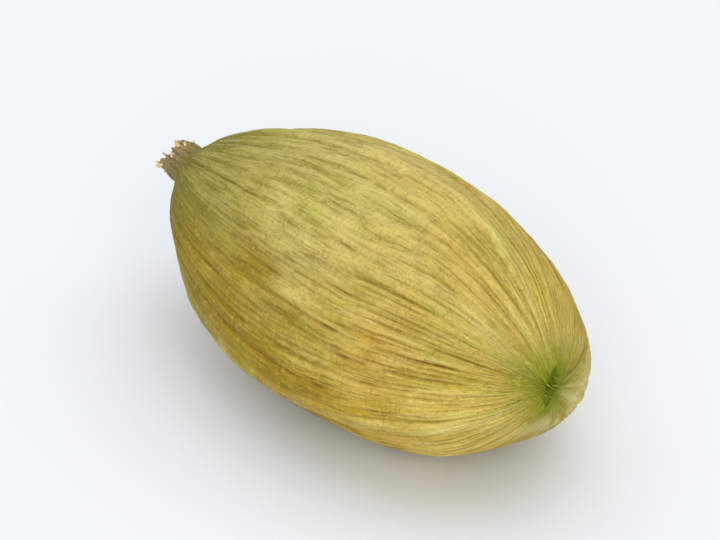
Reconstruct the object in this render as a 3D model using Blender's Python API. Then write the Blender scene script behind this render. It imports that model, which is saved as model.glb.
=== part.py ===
"""A dried green cardamom pod, lying on its side.

The pod grew as one piece, so it is one solid: a plump husk with three blunt corners and fine
ribs from end to end, a neck that narrows to the broken stalk, and a small slit scar at the tip.
Metres, +Z up. The stalk points to -X and the tip to +X. The origin is on the surface that the
pod lies on, under the middle of its box.
"""
import math

import bmesh
import bpy
from mathutils import Vector

# Driving dimensions
LENGTH = 0.0165          # broken stalk to tip
WIDTH = 0.0083           # across the fattest place
HEIGHT_SHARE = 0.97      # how high the husk is for its width
FLAT_DEPTH = 0.00030     # how much of the belly the resting spot takes off

# Ribs, grooves and corners
RIBS = 39
GROOVE_DEPTH = 0.00010   # how deep the grooves between the ribs are at the fattest place
GROOVE_UNEVEN = 0.35     # how much one groove's depth differs from the next, as a share
GROOVE_SHARPNESS = 3     # the higher, the narrower the groove for the width of the rib
RIB_TWIST = 0.10         # how far the ribs wind round the pod from end to end, in radians
RIB_WAVER = 0.02         # how far they wander on the way, in radians
CORNER_SHARE = 0.056     # how far the three blunt corners stand out, as a share of the radius
FIRST_KEEL = 10.5 * math.tau / RIBS    # each corner is on the crest of a rib
KEEL_HEIGHT = 0.00015    # the ridge on each corner, over the other ribs
KEEL_REACH = 0.9         # how far it goes to each side, in ribs
BROAD_DENT = 0.00008     # soft unevenness of the dried husk
SMALL_DENT = 0.00005
FULL_SHARE = 0.7         # grooves, corners and dents are at full size where the pod is this thick

# The husk's centre line
NECK_LIFT = 0.00072      # how far the stalk's end turns up
NECK_REACH = 0.50        # where that bend ends, as a share of the length
TIP_LIFT = 0.00062       # how far the tip turns up
TIP_LEAN = 0.00068       # how far the tip turns to the front
TIP_REACH = 0.60         # where that bend starts

# The scar at the tip
SLIT_RATIO = 4.0         # its length over its width
SLIT_TURN = math.radians(108)

# The mesh: three steps for each rib, and one ring for each step of the outline
STEPS_ROUND = RIBS * 3
STEPS_ALONG = 49
HUSK_COLOUR = (0.47, 0.38, 0.09, 1)

# The outline, from the floor of the stalk's hollow to the floor of the tip's scar:
# step along the mesh, share of the length, share of the half width
OUTLINE = (
    (0, 0.036, 0.000),
    (2, 0.033, 0.062),
    (4, 0.011, 0.092),
    (5, 0.002, 0.108),
    (6, 0.000, 0.130),
    (7, 0.005, 0.150),
    (9, 0.021, 0.162),
    (11, 0.040, 0.172),
    (13, 0.062, 0.243),
    (15, 0.092, 0.375),
    (17, 0.130, 0.497),
    (20, 0.197, 0.655),
    (24, 0.303, 0.835),
    (28, 0.425, 0.955),
    (31, 0.525, 1.000),
    (34, 0.630, 0.993),
    (37, 0.735, 0.932),
    (40, 0.834, 0.795),
    (42, 0.897, 0.650),
    (44, 0.951, 0.448),
    (45, 0.975, 0.318),
    (46, 0.992, 0.175),
    (47, 0.999, 0.080),
    (48, 0.988, 0.052),
    (49, 0.976, 0.000),
)


def outline_at(step):
    """Share of the length and of the half width at a step, on a smooth curve through OUTLINE."""
    last = len(OUTLINE) - 1
    i = max(k for k in range(last) if OUTLINE[k][0] <= step)
    start, end = OUTLINE[i][0], OUTLINE[i + 1][0]
    t = (step - start) / (end - start)
    values = []
    for column in (1, 2):
        slopes = []
        for k in (i, i + 1):
            low, high = max(k - 1, 0), min(k + 1, last)
            rise = OUTLINE[high][column] - OUTLINE[low][column]
            slopes.append(rise / (OUTLINE[high][0] - OUTLINE[low][0]) * (end - start))
        a, b = OUTLINE[i][column], OUTLINE[i + 1][column]
        values.append((2 * t**3 - 3 * t**2 + 1) * a + (t**3 - 2 * t**2 + t) * slopes[0]
                      + (3 * t**2 - 2 * t**3) * b + (t**3 - t**2) * slopes[1])
    return values


def centre_line(along):
    """A point of the husk's centre line, with its direction."""
    neck = max(0.0, 1 - along / NECK_REACH)
    tip = max(0.0, (along - TIP_REACH) / (1 - TIP_REACH))
    point = Vector((along * LENGTH, -TIP_LEAN * tip**2, NECK_LIFT * neck**2 + TIP_LIFT * tip**2))
    run = 2 * tip / (1 - TIP_REACH)
    slope = Vector((LENGTH, -TIP_LEAN * run, TIP_LIFT * run - 2 * NECK_LIFT * neck / NECK_REACH))
    return point, slope.normalized()


def husk_radius(share, along, angle):
    """Distance of the skin from the centre line, with corners, soft dents, grooves and keels."""
    fullness = min(1.0, share / FULL_SHARE)
    radius = share * WIDTH / 2
    radius *= 1 + CORNER_SHARE * fullness * math.cos(3 * (angle - FIRST_KEEL))
    radius += BROAD_DENT * fullness * math.sin(2 * angle + 7 * along + 0.6)
    radius += SMALL_DENT * fullness * math.sin(4 * angle - 11 * along + 2.1)

    groove = round(angle / math.tau * RIBS) % RIBS
    uneven = GROOVE_UNEVEN * math.sin(2.4 * groove + 0.9) * math.cos(3 * along + 0.7 * groove)
    narrow = (0.5 + 0.5 * math.cos(RIBS * angle))**GROOVE_SHARPNESS
    radius -= GROOVE_DEPTH * fullness * (1 + uneven) * narrow

    off_keel = abs((angle - FIRST_KEEL + math.tau / 6) % (math.tau / 3) - math.tau / 6)
    off_share = min(1.0, off_keel / (math.tau / RIBS) / KEEL_REACH)
    radius += KEEL_HEIGHT * fullness * math.cos(math.pi / 2 * off_share)**2
    return radius


def slit_shape(step, angle):
    """Draws the scar at the tip out into a slit that runs across the pod."""
    near = max(0.0, min(1.0, (step - 45) / 2))
    longer = 1 + (SLIT_RATIO - 1) * near**2
    off = angle - SLIT_TURN
    return 1 / math.sqrt(math.cos(off)**2 / longer + longer * math.sin(off)**2)


def make_husk(collection):
    """A sphere whose rings follow the outline and whose meridians follow the ribs."""
    bm = bmesh.new()
    bmesh.ops.create_uvsphere(bm, u_segments=STEPS_ROUND, v_segments=STEPS_ALONG, radius=1.0)
    up = Vector((0, 0, 1))
    for vert in bm.verts:
        step = round(math.acos(max(-1.0, min(1.0, vert.co.z))) / math.pi * STEPS_ALONG)
        angle = math.atan2(vert.co.y, vert.co.x) % math.tau
        along, share = outline_at(step)
        radius = husk_radius(share, along, angle) * slit_shape(step, angle) if share > 0 else 0.0
        point, forward = centre_line(along)
        above = (up - up.dot(forward) * forward).normalized()
        aside = forward.cross(above)
        turn = angle + RIB_TWIST * (along - 0.5) + RIB_WAVER * math.sin(5 * along + angle)
        vert.co = point + radius * (math.cos(turn) * aside
                                    + math.sin(turn) * HEIGHT_SHARE * above)
    rest_on_flat_spot(bm)
    mesh = bpy.data.meshes.new("cardamom_pod")
    bm.to_mesh(mesh)
    bm.free()
    mesh.shade_smooth()
    mesh.set_sharp_from_angle(angle=math.radians(50))
    pod = bpy.data.objects.new("cardamom_pod", mesh)
    pod.data.materials.append(husk_material())
    collection.objects.link(pod)
    return pod


def rest_on_flat_spot(bm):
    """Presses the belly flat and sets the origin under the middle of the box."""
    floor = min(vert.co.z for vert in bm.verts) + FLAT_DEPTH
    for vert in bm.verts:
        vert.co.z = max(vert.co.z, floor) - floor
    for axis in (0, 1):
        low = min(vert.co[axis] for vert in bm.verts)
        high = max(vert.co[axis] for vert in bm.verts)
        for vert in bm.verts:
            vert.co[axis] -= (low + high) / 2


def husk_material():
    """Dry, straw-green husk."""
    material = bpy.data.materials.new("husk")
    material.use_nodes = True
    shader = material.node_tree.nodes["Principled BSDF"]
    shader.inputs["Base Color"].default_value = HUSK_COLOUR
    shader.inputs["Roughness"].default_value = 0.6
    shader.inputs["Metallic"].default_value = 0.0
    material.diffuse_color = HUSK_COLOUR
    return material


def main():
    for thing in list(bpy.data.objects):
        bpy.data.objects.remove(thing, do_unlink=True)
    collection = bpy.data.collections.new("green_cardamom_pod")
    bpy.context.scene.collection.children.link(collection)
    make_husk(collection)


main()
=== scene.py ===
"""A dried green cardamom pod: the husk, its finish, the floor, the light and the camera.

The husk stands for the one solid of the frame and keeps its form: the same outline, centre line,
corners and count of ribs. It adds the narrow grooves between the ribs, the finer lines on them,
the puckers and pleats, the torn rim of the stalk and the lips of the scar at the tip. The stalk's
broken fibres, its papery shreds and the frayed fibres in the scar are pieces of their own.
Metres, +Z up. The stalk points to -X and the tip to +X.
"""
import math

import bmesh
import bpy
import numpy as np
from mathutils import Matrix, Vector


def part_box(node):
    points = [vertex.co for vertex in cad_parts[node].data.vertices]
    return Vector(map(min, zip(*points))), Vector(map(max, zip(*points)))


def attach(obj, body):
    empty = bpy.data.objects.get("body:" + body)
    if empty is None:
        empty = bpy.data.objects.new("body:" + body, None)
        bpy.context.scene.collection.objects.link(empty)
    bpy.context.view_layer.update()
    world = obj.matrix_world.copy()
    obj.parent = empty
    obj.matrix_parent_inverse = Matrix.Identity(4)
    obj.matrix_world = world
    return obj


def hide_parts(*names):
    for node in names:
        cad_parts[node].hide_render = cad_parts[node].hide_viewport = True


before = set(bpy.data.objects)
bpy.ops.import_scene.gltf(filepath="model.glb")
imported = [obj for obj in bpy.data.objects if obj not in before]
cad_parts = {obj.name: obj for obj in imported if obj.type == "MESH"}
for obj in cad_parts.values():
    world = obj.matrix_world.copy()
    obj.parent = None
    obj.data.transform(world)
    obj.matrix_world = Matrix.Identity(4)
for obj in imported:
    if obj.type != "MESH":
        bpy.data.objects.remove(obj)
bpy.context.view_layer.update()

HUSK_LOW, HUSK_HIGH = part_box("cardamom_pod")

# The husk's form, as the frame has it
LENGTH = 0.0165
WIDTH = 0.0083
HEIGHT_SHARE = 0.97
FLAT_DEPTH = 0.00030
RIBS = 39
GROOVE_DEPTH = 0.00010
GROOVE_UNEVEN = 0.35
GROOVE_SHARPNESS = 3
RIB_TWIST = 0.10
RIB_WAVER = 0.02
CORNER_SHARE = 0.056
FIRST_KEEL = 10.5 * math.tau / RIBS
KEEL_HEIGHT = 0.00015
KEEL_REACH = 0.9
BROAD_DENT = 0.00008
SMALL_DENT = 0.00005
FULL_SHARE = 0.7
NECK_LIFT = 0.00072
NECK_REACH = 0.50
TIP_LIFT = 0.00062
TIP_LEAN = 0.00068
TIP_REACH = 0.60
SLIT_RATIO = 4.0
SLIT_TURN = math.radians(108)
OUTLINE = np.array((
    (0, 0.036, 0.000),
    (2, 0.033, 0.062),
    (4, 0.011, 0.092),
    (5, 0.002, 0.108),
    (6, 0.000, 0.130),
    (7, 0.005, 0.150),
    (9, 0.021, 0.162),
    (11, 0.040, 0.172),
    (13, 0.062, 0.243),
    (15, 0.092, 0.375),
    (17, 0.130, 0.497),
    (20, 0.197, 0.655),
    (24, 0.303, 0.835),
    (28, 0.425, 0.955),
    (31, 0.525, 1.000),
    (34, 0.630, 0.993),
    (37, 0.735, 0.932),
    (40, 0.834, 0.795),
    (42, 0.897, 0.650),
    (44, 0.951, 0.448),
    (45, 0.975, 0.318),
    (46, 0.992, 0.175),
    (47, 0.999, 0.080),
    (48, 0.988, 0.052),
    (49, 0.976, 0.000),
))
LAST_STEP = OUTLINE[-1][0]

MILLIMETRE = 0.001

# The fine husk's mesh, and the heights of what it adds to the form
STEPS_ROUND = RIBS * 12
STEPS_ALONG = 212
FINE_GROOVE = 0.000026       # the finer grooves on a rib
STRIATION = 0.000013         # fine lines along the ribs
PUCKER = 0.000016
SHRINKAGE = 0.000075         # broad soft unevenness
NECK_PLEAT = 0.000055
KEEL_EDGE = 0.000042         # the thin edge on each keel

# Places on the mesh, in the outline's steps
HOLLOW_STEPS = (4.2, 6.0)    # from the stalk's hollow out to its rim
RIM_STEP = 6
STUB_STEP = 8
STALK_STEPS = (8.0, 14.0)    # from the brown stub to the husk
GREEN_TIP_STEPS = (45.2, 46.8)
# Where the scar's pale rim with a painted highlight lies
PALE_HIGHLIT_TIP_STEP = 44.7
LIP_STEP = 46.6
SLIT_STEPS = (46.7, 47.3)
SLIT_FLOOR_STEPS = (47.2, 48.4)

# The stalk's torn rim and the scar, as shares of the length or of the radius
RIM_TORN = 0.015             # how far along the rim is torn
STUB_UNEVEN = 0.10           # how uneven the stub is round about
LIP_RISE = 0.0015            # how far the scar's lips stand out
LIP_UNEVEN = 0.003
SLIT_FILL = 0.012            # how far the scar's floor is filled up

# How far a rib strays to the sides, in radians, and how much more it does so on short stretches
RIB_STRAY = 0.027
SHORT_STRAY = 0.22

# Places with a tint of their own, some with painted highlight, light or shade: the angle and the
# share of the length where their middle is, and how fast they fade along the pod
# Bleached pale patch, with a painted highlight on the upper side
BLEACHED_HIGHLIGHT_PLACE = (math.radians(72), 0.50, 0.9)
# Deeper khaki with painted shade on the lower front, towards the stalk
DEEP_KHAKI_SHADE_PLACE = (math.radians(-12), 0.34, 1.6)
# Painted light on the lower front, towards the tip
PAINTED_LIGHT_PLACE = (math.radians(-22), 0.75, 2.1)
WARM_ALONG = 0.78
# The scar's pale rim, with a painted highlight on its far side
PALE_HIGHLIT_TIP_ANGLE = math.radians(-130)  # the scar's far side, where its rim is pale

# Fibres and shreds: how many, and the range of their sizes
SLIVER_STEPS = 5
RIM_FIBRES = 34
RIM_FIBRE_THICK = (0.000045, 0.000085)
RIM_FIBRE_LONG = (0.00010, 0.00022)
PITH_FIBRES = 18
PITH_FIBRE_THICK = (0.00004, 0.00007)
PITH_FIBRE_LONG = (0.00018, 0.00042)
RIM_SHREDS = 11
SHRED_WIDE = (0.00012, 0.00030)
SHRED_THICK = 0.000026
SHRED_LONG = (0.00012, 0.00026)
TIP_FIBRES = 14
TIP_FIBRE_THICK = (0.000026, 0.000044)
TIP_FIBRE_LONG = (0.00009, 0.00018)
STALK_SEED = 4
TIP_SEED = 9
SCATTER = (374761393, 668265263, 1442695041, 97531, 1274126177)   # odd numbers, for even noise

# The floor, the light and the photograph's viewing angle
FLOOR_RADIUS = 0.8
FLOOR_COLOUR = (0.775, 0.803, 0.832)
SKY_COLOUR = (0.97, 0.985, 1.0)
SKY_STRENGTH = 0.79
LAMPS = (                    # name, place, size and power
    ("key", (0.02, 0.10, 0.29), 0.30, 0.25),
    ("fill", (0.22, -0.19, 0.13), 0.30, 0.56),
    ("back", (-0.24, 0.05, 0.16), 0.24, 0.09),
)
CAMERA_AZIMUTH = math.radians(46)
CAMERA_ELEVATION = math.radians(33)
CAMERA_LENS = 200
CAMERA_DISTANCE = 0.118
CAMERA_NEAR = 0.002
CAMERA_FAR = 10


# The form

def outline_at(step):
    """Share of the length and of the half width at each step, on a smooth curve through OUTLINE."""
    knots = OUTLINE[:, 0]
    i = np.clip(np.searchsorted(knots, step, side="right") - 1, 0, len(knots) - 2)
    gap = knots[i + 1] - knots[i]
    t = (step - knots[i]) / gap
    values = []
    for column in (1, 2):
        height = OUTLINE[:, column]
        slope = np.empty(len(knots))
        slope[1:-1] = (height[2:] - height[:-2]) / (knots[2:] - knots[:-2])
        slope[0] = (height[1] - height[0]) / (knots[1] - knots[0])
        slope[-1] = (height[-1] - height[-2]) / (knots[-1] - knots[-2])
        values.append((2 * t**3 - 3 * t**2 + 1) * height[i] + (t**3 - 2 * t**2 + t) * slope[i] * gap
                      + (3 * t**2 - 2 * t**3) * height[i + 1] + (t**3 - t**2) * slope[i + 1] * gap)
    return values


def unit(rows):
    """Each row made one long."""
    return rows / np.linalg.norm(rows, axis=1, keepdims=True)


def centre_line(along):
    """Points of the husk's centre line, with their directions."""
    neck = np.maximum(0, 1 - along / NECK_REACH)
    tip = np.maximum(0, (along - TIP_REACH) / (1 - TIP_REACH))
    point = np.stack((along * LENGTH, -TIP_LEAN * tip**2,
                      NECK_LIFT * neck**2 + TIP_LIFT * tip**2), 1)
    run = 2 * tip / (1 - TIP_REACH)
    slope = np.stack((np.full_like(along, LENGTH), -TIP_LEAN * run,
                      TIP_LIFT * run - 2 * NECK_LIFT * neck / NECK_REACH), 1)
    return point, unit(slope)


def ease(low, high, value):
    """0 at low, 1 at high, smooth between them, whichever is the larger."""
    t = np.clip((value - low) / (high - low), 0, 1)
    return t * t * (3 - 2 * t)


def lattice(cell, seed):
    """A number from -1 to 1 for each whole-numbered cell, the same each run."""
    mixed = cell.astype(np.int64).astype(np.uint64)
    code = np.full(len(cell), np.uint64(seed * SCATTER[3]))
    for axis in range(3):
        code = code + mixed[:, axis] * np.uint64(SCATTER[axis])
    code = (code ^ (code >> np.uint64(13))) * np.uint64(SCATTER[4])
    code = code ^ (code >> np.uint64(16))
    return (code & np.uint64(65535)).astype(float) / 32767.5 - 1


def cloud(rows, octaves=3, seed=0):
    """Smooth noise of about -1 to 1 at each row."""
    total, weight, reach = 0.0, 1.0, 0.0
    for octave in range(octaves):
        spot = rows * 2.07**octave + 13.7 * octave + 0.31 * seed
        cell = np.floor(spot)
        t = spot - cell
        t = t * t * (3 - 2 * t)
        value = 0.0
        for corner in range(8):
            side = np.array((corner & 1, corner >> 1 & 1, corner >> 2 & 1))
            share = np.prod(np.where(side, t, 1 - t), axis=1)
            value = value + share * lattice(cell + side, seed + 31 * octave)
        total, reach, weight = total + weight * value, reach + weight, weight * 0.55
    return total / reach * 1.6


def lengthways(angle, along):
    """Places on an even cylinder in millimetres, for noise that has to follow the ribs."""
    radius = WIDTH / 2 / MILLIMETRE
    return np.stack((np.cos(angle) * radius, np.sin(angle) * radius,
                     along * LENGTH / MILLIMETRE), 1)


def grained(rows, round_size, long_size, octaves=3, seed=0):
    """Noise with grains of that many millimetres round the pod and along it."""
    return cloud(rows / (round_size, round_size, long_size), octaves, seed)


def valley(turn, sharpness):
    """1 at each whole number, 0 between them, the narrower the sharper."""
    return (0.5 + 0.5 * np.cos(math.tau * turn))**sharpness


class Skin:
    """Everything that is known of the husk's skin at each of its points."""

    def __init__(self, step, angle):
        self.step, self.angle = step, angle
        self.along, self.share = outline_at(step)
        self.full = np.minimum(1, np.maximum(0, self.share) / FULL_SHARE)
        even = lengthways(angle, self.along)
        short = grained(even, 0.5, 0.9, 2, seed=11)
        sway = grained(even, 2.0, 5.5, 2, seed=1) + SHORT_STRAY * short
        self.strayed = angle + RIB_STRAY * sway
        self.even, self.grain = even, lengthways(self.strayed, self.along)
        self.grooves()
        self.creases()
        self.keels()
        self.tints()

    def per_groove(self, number, size, seed):
        """Noise that changes from groove to groove and slowly along each of them."""
        run = self.along * LENGTH / MILLIMETRE / size
        return cloud(np.stack((number * 3.7, run, number * 0), 1), 2, seed)

    def grooves(self):
        """A deep groove between the ribs, and two finer ones on each that come and go."""
        turn = self.strayed / math.tau * RIBS
        groove = np.round(turn) % RIBS
        uneven = GROOVE_UNEVEN * np.sin(2.4 * groove + 0.9)
        uneven *= np.cos(3 * self.along + 0.7 * groove)
        depth = np.clip(0.80 + 0.75 * self.per_groove(groove, 2.3, seed=2), 0.12, 1.4)
        reach = self.full**np.where(groove % 2 == 1, 1.7, 0.9)
        narrow = 0.42 * valley(turn, GROOVE_SHARPNESS) + 0.36 * valley(turn, 18)
        self.groove = valley(turn, 14) * depth * np.minimum(1, reach * 1.6)
        self.relief = -GROOVE_DEPTH * reach * (1 + uneven) * depth * narrow

        rib = np.floor(turn) % RIBS
        self.fine = 0
        for place, seed in ((0.34, 8), (0.66, 13)):
            off = place + 0.07 * np.sin(2.9 * rib + seed)
            comes = ease(-0.30, 0.45, self.per_groove(rib, 1.8, seed))
            self.fine = self.fine + valley(turn - off, 26) * comes * self.full
        self.relief -= FINE_GROOVE * self.fine
        self.vein = valley(turn - 0.18, 14) + valley(turn + 0.18, 14)

    def creases(self):
        """Fine lines along the ribs, puckers, shrunken places and pleats at the neck."""
        self.relief += STRIATION * self.full * grained(self.grain, 0.13, 1.3, 3, seed=3)
        pucker = grained(self.grain, 0.34, 0.26, 3, seed=4)
        rough = 0.5 + 0.5 * ease(-0.3, 0.5, grained(self.even, 2.0, 2.4, 1, seed=9))
        self.relief += PUCKER * np.sqrt(self.full) * rough * pucker
        self.relief += SHRINKAGE * self.full * grained(self.even, 2.3, 3.6, 3, seed=5)
        near = np.exp(-((self.along - 0.15) / 0.085)**2)
        pleat = np.sin(8 * self.angle + 2.2 * np.sin(self.angle + 1.1)) * (
            0.7 + 0.5 * np.sin(3 * self.angle))
        self.relief += NECK_PLEAT * near * pleat

    def keels(self):
        """The three corners' ridges with their thin uneven edge, and their pale wear with a painted
        highlight.
        """
        off_keel = np.abs((self.angle - FIRST_KEEL + math.tau / 6) % (math.tau / 3)
                          - math.tau / 6) / (math.tau / RIBS)
        keel = np.cos(math.pi / 2 * np.minimum(1, off_keel / KEEL_REACH))**2
        nicks = 0.70 + 0.9 * grained(self.even, 3.0, 0.75, 3, seed=10)
        edge = np.exp(-(off_keel / 0.16)**2) * np.clip(nicks, 0, 1.3)
        fade = self.full * (1 - 0.85 * ease(0.80, 0.97, self.along))
        fade *= ease(0.02, 0.26, self.along)
        self.relief += fade * (KEEL_HEIGHT * keel + KEEL_EDGE * edge)
        # Pale wear on the keels, partly a painted highlight, stronger on the two lower keels
        worn_and_highlit = ease(-0.5, 0.5, grained(self.even, 2.0, 1.2, 3, seed=17))
        band = np.exp(-(off_keel / 0.50)**2) * (0.25 + 0.75 * worn_and_highlit)
        self.worn_highlit_keel = 0.60 * band + 0.40 * edge
        self.worn_highlit_keel *= 0.35 + 0.65 * ease(0.05, 0.24, self.along)
        self.worn_highlit_keel *= 0.70 - 0.30 * np.cos(self.angle - FIRST_KEEL)

    def side(self, middle, sharpness=2):
        """1 on the side at that angle, 0 on the opposite side."""
        return (0.5 + 0.5 * np.cos(self.angle - middle))**sharpness

    def around(self, angle, along, fading):
        """How near a place is, 1 at its middle."""
        return self.side(angle) - fading * np.abs(self.along - along)

    def tints(self):
        """Where the husk is bleached with a painted highlight, deep khaki with painted shade, warm,
        painted light near the tip, and the scar's pale rim with a painted highlight.
        """
        patch = grained(self.even, 3.0, 4.6, 4, seed=14)
        # Pale bleached patches, with a painted highlight on the upper side
        self.bleach_and_highlight = ease(0.10, 0.80, self.around(*BLEACHED_HIGHLIGHT_PLACE) + 0.42 * patch)
        patch = grained(self.even, 2.4, 4.0, 4, seed=15)
        # Deeper khaki with painted shade on the lower front
        self.deep = ease(0.05, 0.72, self.around(*DEEP_KHAKI_SHADE_PLACE) + 0.42 * patch)
        patch = grained(self.even, 1.3, 3.6, 5, seed=16)
        warm = 0.62 - 2.0 * np.abs(self.along - WARM_ALONG)
        self.warm = ease(0.10, 1.10, warm + 0.62 * patch)
        # Painted light on the lower front, towards the tip
        self.light = ease(0.20, 0.80, self.around(*PAINTED_LIGHT_PLACE) - 0.30 * patch)
        # The scar's pale rim, with a painted highlight on one side
        ring = np.exp(-((self.step - PALE_HIGHLIT_TIP_STEP) / 1.1)**2)
        worn_and_highlit = ease(-0.6, 0.3, grained(self.even, 0.9, 1.0, 3, seed=18))
        self.pale_highlit_tip = self.side(PALE_HIGHLIT_TIP_ANGLE, 1.5) * ring * worn_and_highlit

    def radius(self):
        """Distance of the skin from the centre line."""
        radius = self.share * WIDTH / 2
        radius = radius * (1 + CORNER_SHARE * self.full * np.cos(3 * (self.angle - FIRST_KEEL)))
        radius += BROAD_DENT * self.full * np.sin(2 * self.angle + 7 * self.along + 0.6)
        radius += SMALL_DENT * self.full * np.sin(4 * self.angle - 11 * self.along + 2.1)
        return radius + self.relief

    def slit(self):
        """Draws the scar at the tip out into a slit that runs across the pod."""
        near = np.clip((self.step - 45) / 2, 0, 1)
        longer = 1 + (SLIT_RATIO - 1) * near**2
        off = self.angle - SLIT_TURN
        return 1 / np.sqrt(np.cos(off)**2 / longer + longer * np.sin(off)**2)


def husk_points(step, angle):
    """Where the husk's skin is at each step and angle, and what is known of it there."""
    skin = Skin(step, angle)
    radius = skin.radius() * skin.slit()
    ring = lengthways(angle, angle * 0)
    stub = np.exp(-((step - STUB_STEP) / 2.6)**2)
    radius *= 1 + STUB_UNEVEN * stub * grained(ring, 0.55, 1, 2, seed=12)
    radius[skin.share <= 1e-6] = 0
    rim = np.exp(-((step - RIM_STEP) / 1.4)**2)
    along = skin.along - RIM_TORN * rim * grained(ring, 1.3, 1, 3, seed=6)
    lips = np.exp(-((step - LIP_STEP) / 0.5)**2)
    along = along + lips * (LIP_RISE + LIP_UNEVEN * grained(ring, 0.9, 1, 3, seed=7))
    along += SLIT_FILL * ease(*SLIT_FLOOR_STEPS, step)
    point, forward = centre_line(along)
    up = np.array((0.0, 0.0, 1.0))
    above = unit(up - forward[:, 2:3] * forward)
    aside = np.cross(forward, above)
    turn = angle + RIB_TWIST * (skin.along - 0.5)
    turn = turn + RIB_WAVER * np.sin(5 * skin.along + angle)
    place = point + radius[:, None] * (np.cos(turn)[:, None] * aside
                                       + HEIGHT_SHARE * np.sin(turn)[:, None] * above)
    return place, skin


# Mesh helpers

def deselect_all():
    for thing in bpy.context.selected_objects:
        thing.select_set(False)


def set_attribute(mesh, name, values):
    """Keeps one number for each point of a mesh, for its material."""
    layer = mesh.attributes.new(name, "FLOAT", "POINT")
    layer.data.foreach_set("value", np.ascontiguousarray(values, dtype=np.float32))


def set_vectors(mesh, name, rows):
    """Keeps one vector for each point of a mesh, for its material."""
    layer = mesh.attributes.new(name, "FLOAT_VECTOR", "POINT")
    layer.data.foreach_set("vector", np.ascontiguousarray(rows, dtype=np.float32).ravel())


def make_husk():
    """A sphere whose rings follow the outline and whose meridians follow the ribs."""
    deselect_all()
    bpy.ops.mesh.primitive_uv_sphere_add(segments=STEPS_ROUND, ring_count=STEPS_ALONG, radius=1)
    husk = bpy.context.object
    husk.name = husk.data.name = "husk"
    mesh = husk.data
    ball = np.empty(len(mesh.vertices) * 3)
    mesh.vertices.foreach_get("co", ball)
    ball = ball.reshape(-1, 3)
    step = np.arccos(np.clip(ball[:, 2], -1, 1)) / math.pi * LAST_STEP
    angle = np.arctan2(ball[:, 1], ball[:, 0]) % math.tau
    place, skin = husk_points(step, angle)

    low, high = place.min(0), place.max(0)
    seat = (np.array(HUSK_LOW) + HUSK_HIGH - low - high) / 2
    seat[2] = -(low[2] + FLAT_DEPTH)
    place += seat
    place[:, 2] = np.maximum(place[:, 2], 0)
    mesh.vertices.foreach_set("co", place.ravel())
    mesh.update()

    kept = {
        "groove": skin.groove, "fine_groove": skin.fine, "vein": skin.vein,
        "keel": skin.worn_highlit_keel, "bleach_and_highlight": skin.bleach_and_highlight, "deep": skin.deep,
        "warm": skin.warm, "light": skin.light, "pale_highlit_tip": skin.pale_highlit_tip,
        "along": skin.along, "stalk": 1 - ease(*STALK_STEPS, step),
        "hollow": 1 - ease(*HOLLOW_STEPS, step), "slit": ease(*SLIT_STEPS, step),
        "tip": ease(*GREEN_TIP_STEPS, step),
    }
    for name, values in kept.items():
        set_attribute(mesh, name, values)
    set_vectors(mesh, "grain", skin.grain)
    mesh.shade_smooth()
    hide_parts("cardamom_pod")
    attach(husk, "root")
    return husk, seat


# Broken fibres and shreds

def make_sliver(width, thick, length, lean, narrowing):
    """A thin bent sliver of dry husk that stands on the origin and leans towards +Y."""
    deselect_all()
    step = length / SLIVER_STEPS
    bpy.ops.mesh.primitive_cube_add(size=1, location=(0, 0, step / 2), scale=(width, thick, step))
    sliver = bpy.context.object
    bpy.ops.object.transform_apply(location=True, rotation=False, scale=True)
    bpy.ops.object.mode_set(mode="EDIT")
    bpy.ops.mesh.select_mode(type="FACE")
    cage = bmesh.from_edit_mesh(sliver.data)
    for face in cage.faces:
        face.select_set(face.normal.z > 0.9)
    bmesh.update_edit_mesh(sliver.data)
    for i in range(1, SLIVER_STEPS):
        bpy.ops.mesh.extrude_region_move(
            TRANSFORM_OT_translate={"value": (0, lean * i * step, step)})
        bpy.ops.transform.resize(value=(narrowing, narrowing, 1))
    bpy.ops.object.mode_set(mode="OBJECT")
    return sliver


def stand_on(sliver, root, out, lean_to):
    """Stands a sliver at its root, pointing out, with its lean turned one way."""
    side = lean_to - out * lean_to.dot(out)
    side.normalize()
    turn = Matrix((side.cross(out), side, out)).transposed().to_4x4()
    sliver.matrix_world = Matrix.Translation(root) @ turn
    deselect_all()
    sliver.select_set(True)
    bpy.context.view_layer.objects.active = sliver
    bpy.ops.object.transform_apply(location=True, rotation=True, scale=True)


def join_slivers(slivers, name):
    """One rounded piece made of many slivers."""
    deselect_all()
    for sliver in slivers:
        sliver.select_set(True)
    bpy.context.view_layer.objects.active = slivers[0]
    bpy.ops.object.join()
    piece = bpy.context.object
    piece.name = piece.data.name = name
    rounded = piece.modifiers.new("rounded", "SUBSURF")
    rounded.levels = rounded.render_levels = 1
    bpy.ops.object.modifier_apply(modifier=rounded.name)
    piece.data.shade_smooth()
    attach(piece, "root")
    return piece


def husk_spot(step, angle, seat):
    """A point of the husk's skin, the way out from the centre line there and the way forward."""
    place, skin = husk_points(np.array([float(step)]), np.array([float(angle)]))
    middle, forward = centre_line(skin.along)
    point = Vector(place[0] + seat)
    return point, (point - Vector(middle[0] + seat)).normalized(), Vector(forward[0])


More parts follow.
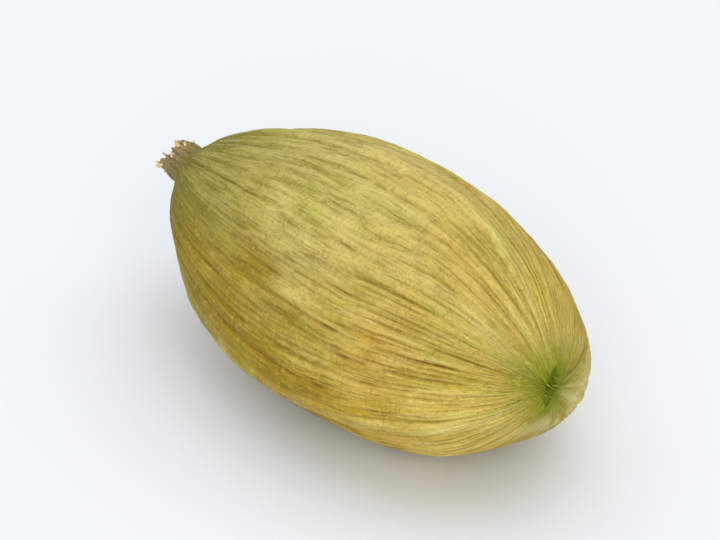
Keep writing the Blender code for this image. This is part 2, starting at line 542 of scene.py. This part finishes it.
def make_stalk_fibres(seat):
    """The broken stalk: fibres on its rim and in its hollow."""
    draw = np.random.default_rng(STALK_SEED)
    slivers = []
    for _ in range(RIM_FIBRES):
        thick = draw.uniform(*RIM_FIBRE_THICK)
        sliver = make_sliver(thick * draw.uniform(1, 1.8), thick,
                             draw.uniform(*RIM_FIBRE_LONG), draw.uniform(-0.25, 0.35), 0.90)
        root, out, forward = husk_spot(draw.uniform(5.0, 6.8), draw.uniform(0, math.tau), seat)
        away = (-forward + out * draw.uniform(-0.3, 0.35)).normalized()
        stand_on(sliver, root + forward * 0.00006, away, out)
        slivers.append(sliver)
    for _ in range(PITH_FIBRES):
        thick = draw.uniform(*PITH_FIBRE_THICK)
        sliver = make_sliver(thick, thick, draw.uniform(*PITH_FIBRE_LONG),
                             draw.uniform(-0.2, 0.2), 0.86)
        root, out, forward = husk_spot(draw.uniform(1.0, 4.4), draw.uniform(0, math.tau), seat)
        stand_on(sliver, root + forward * 0.00005, -forward, out)
        slivers.append(sliver)
    return join_slivers(slivers, "stalk_fibres")


def make_stalk_shreds(seat):
    """Papery shreds round the rim, what is left of the dried flower stalk's skin."""
    draw = np.random.default_rng(STALK_SEED + 1)
    slivers = []
    for i in range(RIM_SHREDS):
        sliver = make_sliver(draw.uniform(*SHRED_WIDE), SHRED_THICK,
                             draw.uniform(*SHRED_LONG), draw.uniform(0.05, 0.45), 0.86)
        angle = (i + draw.uniform(-0.35, 0.35)) / RIM_SHREDS * math.tau
        root, out, forward = husk_spot(draw.uniform(7.0, 8.5), angle, seat)
        away = (-forward + out * draw.uniform(0.05, 0.45)).normalized()
        stand_on(sliver, root + forward * 0.00008 - out * 0.00003, away, out)
        slivers.append(sliver)
    return join_slivers(slivers, "stalk_shreds")


def make_tip_fibres(seat):
    """Short frayed fibres in the scar at the tip."""
    draw = np.random.default_rng(TIP_SEED)
    slivers = []
    for _ in range(TIP_FIBRES):
        thick = draw.uniform(*TIP_FIBRE_THICK)
        sliver = make_sliver(thick * 1.5, thick, draw.uniform(*TIP_FIBRE_LONG),
                             draw.uniform(-0.35, 0.35), 0.84)
        end = SLIT_TURN + draw.choice((0, math.pi)) + draw.uniform(-1.2, 1.2)
        root, out, forward = husk_spot(draw.uniform(46.9, 48.4), end, seat)
        away = (forward + out * draw.uniform(-0.7, 0.3)).normalized()
        stand_on(sliver, root - forward * 0.00004, away, out)
        slivers.append(sliver)
    return join_slivers(slivers, "tip_fibres")


# Materials

class Nodes:
    """A material's nodes, added and joined in a few words."""

    def __init__(self, name):
        self.material = bpy.data.materials.new(name)
        self.material.use_nodes = True
        self.tree = self.material.node_tree
        self.shader = self.tree.nodes["Principled BSDF"]

    def add(self, kind, **values):
        node = self.tree.nodes.new(kind)
        for name, value in values.items():
            setattr(node, name, value)
        return node

    def join(self, source, target):
        self.tree.links.new(source, target)

    def attribute(self, name, output="Fac"):
        node = self.add("ShaderNodeAttribute", attribute_name=name)
        return node.outputs[output]

    def noise(self, vector, scale, detail=4, roughness=0.55, distortion=0.0):
        node = self.add("ShaderNodeTexNoise")
        node.inputs["Scale"].default_value = scale
        node.inputs["Detail"].default_value = detail
        node.inputs["Roughness"].default_value = roughness
        node.inputs["Distortion"].default_value = distortion
        self.join(vector, node.inputs["Vector"])
        return node.outputs["Fac"]

    def stretch(self, vector, scale, shift=0.0):
        node = self.add("ShaderNodeMapping")
        node.inputs["Scale"].default_value = scale
        node.inputs["Location"].default_value = (shift, shift, shift)
        self.join(vector, node.inputs["Vector"])
        return node.outputs["Vector"]

    def between(self, value, low, high, to_low=0.0, to_high=1.0):
        """Maps low..high to to_low..to_high, held at the ends."""
        node = self.add("ShaderNodeMapRange", interpolation_type="SMOOTHSTEP")
        for name, number in (("From Min", low), ("From Max", high),
                             ("To Min", to_low), ("To Max", to_high)):
            node.inputs[name].default_value = number
        self.join(value, node.inputs["Value"])
        return node.outputs["Result"]

    def times(self, first, second):
        node = self.add("ShaderNodeMath", operation="MULTIPLY")
        for socket, value in zip(node.inputs, (first, second)):
            if isinstance(value, (int, float)):
                socket.default_value = value
            else:
                self.join(value, socket)
        return node.outputs["Value"]

    def mix(self, share, first, second, blend="MIX"):
        """A colour between two, or one laid over the other."""
        node = self.add("ShaderNodeMix", data_type="RGBA", blend_type=blend, clamp_factor=True)
        for socket, value in ((node.inputs[0], share), (node.inputs[6], first),
                              (node.inputs[7], second)):
            if isinstance(value, tuple):
                socket.default_value = (*value, 1)
            elif isinstance(value, (int, float)):
                socket.default_value = value
            else:
                self.join(value, socket)
        return node.outputs[2]

    def bump(self, height, distance, normal=None):
        """Relief of that height in metres, laid over what is there."""
        node = self.add("ShaderNodeBump")
        node.inputs["Distance"].default_value = distance
        node.inputs["Strength"].default_value = 1.0
        self.join(height, node.inputs["Height"])
        if normal is not None:
            self.join(normal, node.inputs["Normal"])
        return node.outputs["Normal"]


# Colours and tints
STRAW = (0.67, 0.495, 0.076)
PALE = (0.79, 0.67, 0.19)
# Pale bleached straw, also the colour of the painted highlight
BLEACHED_HIGHLIGHT = (0.605, 0.525, 0.178)
KHAKI = (0.475, 0.335, 0.030)
OLIVE = (0.28, 0.225, 0.011)
GREEN = (0.300, 0.335, 0.008)
SLIT_GREEN = (0.23, 0.280, 0.007)
LINE_BROWN = (0.215, 0.108, 0.010)
WARM = (0.80, 0.53, 0.13)
NECK_OLIVE = (0.25, 0.225, 0.018)
LEAF = (0.47, 0.465, 0.045)
# Cream of worn edges, also used for painted highlights
CREAM_WEAR_HIGHLIGHT = (0.76, 0.69, 0.30)
STUB_TAN = (0.66, 0.50, 0.26)
STUB_BROWN = (0.36, 0.215, 0.085)
# Dark brown of the broken stalk's inside, deepened with painted shade
HOLLOW_BROWN_AND_SHADE = (0.075, 0.036, 0.013)
# Darkens to deep khaki, partly painted shade
DEEP_KHAKI_SHADE_TINT = (0.67, 0.575, 0.11)
WARM_TINT = (1.0, 0.95, 0.86)
# Brightens the colour as painted light
PAINTED_LIGHT_TINT = (1.20, 1.18, 1.55)
SHRED_TAN = (0.74, 0.61, 0.36)
TIP_FIBRE_GREEN = (0.34, 0.37, 0.055)

# Heights of the relief in the finish
STREAK_BUMP = 0.00009
PAPER_BUMP = 0.00010
WRINKLE_BUMP = 0.000024
HAIR_BUMP = 0.00004
GRIT_BUMP = 0.00003
FIBRE_BUMP = 0.000010


def husk_material():
    """Dry papery husk: straw and khaki, olive at the neck, brown lines, green at the tip.

    Painted highlights lie on the upper side, the keels and the scar's rim. Painted light lies on
    the lower front near the tip. Painted shade lies on the lower front and in the stalk's hollow.
    """
    n = Nodes("husk")
    place = n.add("ShaderNodeTexCoord").outputs["Object"]
    grain = n.attribute("grain", "Vector")
    along = n.attribute("along")
    groove = n.attribute("groove")

    streaks = n.noise(n.stretch(grain, (4.5, 4.5, 0.38)), 1, detail=6, roughness=0.66)
    hairs = n.noise(n.stretch(grain, (13, 13, 0.9)), 1, detail=3, roughness=0.6)
    patches = n.noise(n.stretch(grain, (0.34, 0.34, 0.17)), 1, detail=3, distortion=0.8)
    warmth = n.noise(n.stretch(grain, (0.55, 0.55, 0.24), 31), 1, detail=3, distortion=0.6)
    greens = n.noise(n.stretch(grain, (0.75, 0.75, 0.32), 101), 1, detail=4, distortion=0.5)
    mottle = n.noise(n.stretch(grain, (2.2, 2.2, 1.0)), 1, detail=6, roughness=0.70)
    breaks = n.noise(n.stretch(grain, (1.7, 1.7, 0.50), 57), 1, detail=4, roughness=0.60)
    stains = n.noise(n.stretch(grain, (3.4, 3.4, 1.5), 83), 1, detail=4, roughness=0.65)
    grit = n.noise(place, 7000, detail=4, roughness=0.65)

    colour = n.mix(n.between(patches, 0.38, 0.62), KHAKI, STRAW)
    # Pale bleached patches and a painted highlight on the upper side
    colour = n.mix(n.times(n.attribute("bleach_and_highlight"), 0.72), colour, BLEACHED_HIGHLIGHT)
    tan = n.times(n.attribute("warm"), n.between(streaks, 0.40, 0.62, 0.25, 0.75))
    colour = n.mix(tan, colour, WARM)
    colour = n.mix(n.between(warmth, 0.50, 0.68, 0, 0.32), colour, WARM)
    colour = n.mix(n.between(greens, 0.50, 0.66, 0, 0.55), colour, LEAF)
    colour = n.mix(n.between(mottle, 0.50, 0.68, 0, 0.50), colour, OLIVE)
    colour = n.mix(n.between(mottle, 0.47, 0.30, 0, 0.40), colour, PALE)
    colour = n.mix(n.between(streaks, 0.51, 0.66, 0, 0.60), colour, PALE)
    colour = n.mix(n.between(streaks, 0.48, 0.36, 0, 0.65), colour, OLIVE)
    colour = n.mix(n.between(hairs, 0.53, 0.70, 0, 0.45), colour, LINE_BROWN)
    colour = n.mix(n.between(hairs, 0.47, 0.32, 0, 0.25), colour, PALE)
    colour = n.mix(n.times(n.attribute("vein"), 0.12), colour, PALE)
    # Deeper khaki and painted shade on the lower front
    colour = n.mix(n.attribute("deep"), colour, DEEP_KHAKI_SHADE_TINT, "MULTIPLY")
    colour = n.mix(n.attribute("warm"), colour, WARM_TINT, "MULTIPLY")
    # Painted light on the lower front near the tip
    colour = n.mix(n.attribute("light"), colour, PAINTED_LIGHT_TINT, "MULTIPLY")

    neck = n.times(n.between(along, 0.42, 0.09), n.between(streaks, 0.62, 0.36, 0.50, 1.0))
    colour = n.mix(neck, colour, NECK_OLIVE)
    tip = n.times(n.between(along, 0.955, 0.997), n.between(streaks, 0.34, 0.62, 0.10, 0.80))
    colour = n.mix(tip, colour, GREEN)

    # The lines are fainter under the painted highlight
    faint = n.between(n.attribute("bleach_and_highlight"), 0.0, 0.9, 1.0, 0.50)
    broken = n.times(n.between(breaks, 0.40, 0.58, 0.06, 1.0), faint)
    colour = n.mix(n.times(groove, broken), colour, LINE_BROWN)
    broken = n.between(breaks, 0.60, 0.42, 0.15, 1.0)
    finer = n.times(n.attribute("fine_groove"), broken)
    colour = n.mix(n.times(finer, faint), colour, LINE_BROWN)
    stained = n.times(n.between(stains, 0.64, 0.76, 0, 0.70), faint)
    colour = n.mix(stained, colour, LINE_BROWN)
    colour = n.mix(n.between(grit, 0.53, 0.72, 0, 0.35), colour, OLIVE)
    colour = n.mix(n.between(grit, 0.47, 0.28, 0, 0.30), colour, PALE)

    # Pale worn keels, partly a painted highlight
    worn_and_highlit = n.times(n.attribute("keel"), n.between(breaks, 0.35, 0.55, 0.35, 0.80))
    colour = n.mix(worn_and_highlit, colour, CREAM_WEAR_HIGHLIGHT)
    stub = n.mix(n.between(hairs, 0.40, 0.60), STUB_BROWN, STUB_TAN)
    stalk = n.times(n.attribute("stalk"), n.between(streaks, 0.35, 0.60, 1, 0.75))
    colour = n.mix(stalk, colour, stub)
    # Dark brown inside the stalk's hollow, deepened with painted shade
    colour = n.mix(n.attribute("hollow"), colour, HOLLOW_BROWN_AND_SHADE)
    green = n.times(n.attribute("tip"), n.between(mottle, 0.35, 0.6, 0.45, 0.95))
    colour = n.mix(green, colour, GREEN)
    # The scar's pale rim, with a painted highlight
    colour = n.mix(n.times(n.attribute("pale_highlit_tip"), 0.75), colour, CREAM_WEAR_HIGHLIGHT)
    colour = n.mix(n.attribute("slit"), colour, SLIT_GREEN)
    n.join(colour, n.shader.inputs["Base Color"])

    n.join(n.between(streaks, 0.3, 0.7, 0.76, 0.56), n.shader.inputs["Roughness"])
    n.shader.inputs["Specular IOR Level"].default_value = 0.12
    n.shader.inputs["Sheen Weight"].default_value = 0.03
    n.shader.inputs["Sheen Roughness"].default_value = 0.5

    papery = n.noise(n.stretch(grain, (5, 5, 6)), 1, detail=5, roughness=0.65)
    wrinkles = n.noise(n.stretch(grain, (2.6, 2.6, 9), 19), 1, detail=3, distortion=0.4)
    normal = n.bump(streaks, STREAK_BUMP)
    normal = n.bump(papery, PAPER_BUMP, normal)
    normal = n.bump(n.between(wrinkles, 0.45, 0.75), WRINKLE_BUMP, normal)
    normal = n.bump(hairs, HAIR_BUMP, normal)
    normal = n.bump(grit, GRIT_BUMP, normal)
    n.join(normal, n.shader.inputs["Normal"])
    return n.material


def sliver_material(name, light, dark):
    """Dry fibre, light with dark spots."""
    n = Nodes(name)
    place = n.add("ShaderNodeTexCoord").outputs["Object"]
    spread = n.noise(place, 5200, detail=4, roughness=0.6)
    fine = n.noise(place, 24000, detail=2)
    colour = n.mix(n.between(spread, 0.40, 0.60), dark, light)
    colour = n.mix(n.between(fine, 0.45, 0.70, 0, 0.45), colour, dark)
    n.join(colour, n.shader.inputs["Base Color"])
    n.join(n.between(fine, 0.3, 0.7, 0.85, 0.65), n.shader.inputs["Roughness"])
    n.shader.inputs["Specular IOR Level"].default_value = 0.2
    n.join(n.bump(fine, FIBRE_BUMP), n.shader.inputs["Normal"])
    return n.material


def floor_material():
    """Smooth pale board."""
    n = Nodes("pale_floor")
    n.shader.inputs["Base Color"].default_value = (*FLOOR_COLOUR, 1)
    n.shader.inputs["Roughness"].default_value = 0.7
    n.shader.inputs["Specular IOR Level"].default_value = 0.2
    return n.material


# Floor, light and camera

def make_floor():
    deselect_all()
    bpy.ops.mesh.primitive_circle_add(vertices=96, radius=FLOOR_RADIUS, fill_type="NGON")
    floor = bpy.context.object
    floor.name = floor.data.name = "floor"
    floor.data.materials.append(floor_material())


def make_lamp(name, place, size, power):
    """A square soft box that looks at the pod."""
    lamp = bpy.data.objects.new(name, bpy.data.lights.new(name, "AREA"))
    lamp.data.size = size
    lamp.data.energy = power
    lamp.location = place
    lamp.rotation_euler = Vector(place).to_track_quat("Z", "Y").to_euler()
    bpy.context.scene.collection.objects.link(lamp)


def make_lights():
    world = bpy.data.worlds.new("studio")
    world.use_nodes = True
    background = world.node_tree.nodes["Background"]
    background.inputs["Color"].default_value = (*SKY_COLOUR, 1)
    background.inputs["Strength"].default_value = SKY_STRENGTH
    bpy.context.scene.world = world
    for lamp in LAMPS:
        make_lamp(*lamp)


def make_camera():
    """Looks at the pod from the photograph's side, with the stalk at the upper left."""
    flat = math.cos(CAMERA_ELEVATION)
    back = Vector((math.sin(CAMERA_AZIMUTH) * flat, -math.cos(CAMERA_AZIMUTH) * flat,
                   math.sin(CAMERA_ELEVATION)))
    target = (HUSK_LOW + HUSK_HIGH) / 2
    camera = bpy.data.objects.new("camera", bpy.data.cameras.new("camera"))
    camera.data.lens = CAMERA_LENS
    camera.location = target + back * CAMERA_DISTANCE
    camera.rotation_euler = back.to_track_quat("Z", "Y").to_euler()
    camera.data.clip_start = CAMERA_NEAR
    camera.data.clip_end = CAMERA_FAR
    bpy.context.scene.collection.objects.link(camera)
    bpy.context.scene.camera = camera


husk, seat = make_husk()
husk.data.materials.append(husk_material())
make_stalk_fibres(seat).data.materials.append(
    sliver_material("stalk_fibre", STUB_TAN, STUB_BROWN))
make_stalk_shreds(seat).data.materials.append(
    sliver_material("stalk_shred", SHRED_TAN, STUB_TAN))
make_tip_fibres(seat).data.materials.append(
    sliver_material("tip_fibre", TIP_FIBRE_GREEN, SLIT_GREEN))
make_floor()
make_lights()
make_camera()
bpy.context.scene.view_settings.view_transform = "Standard"
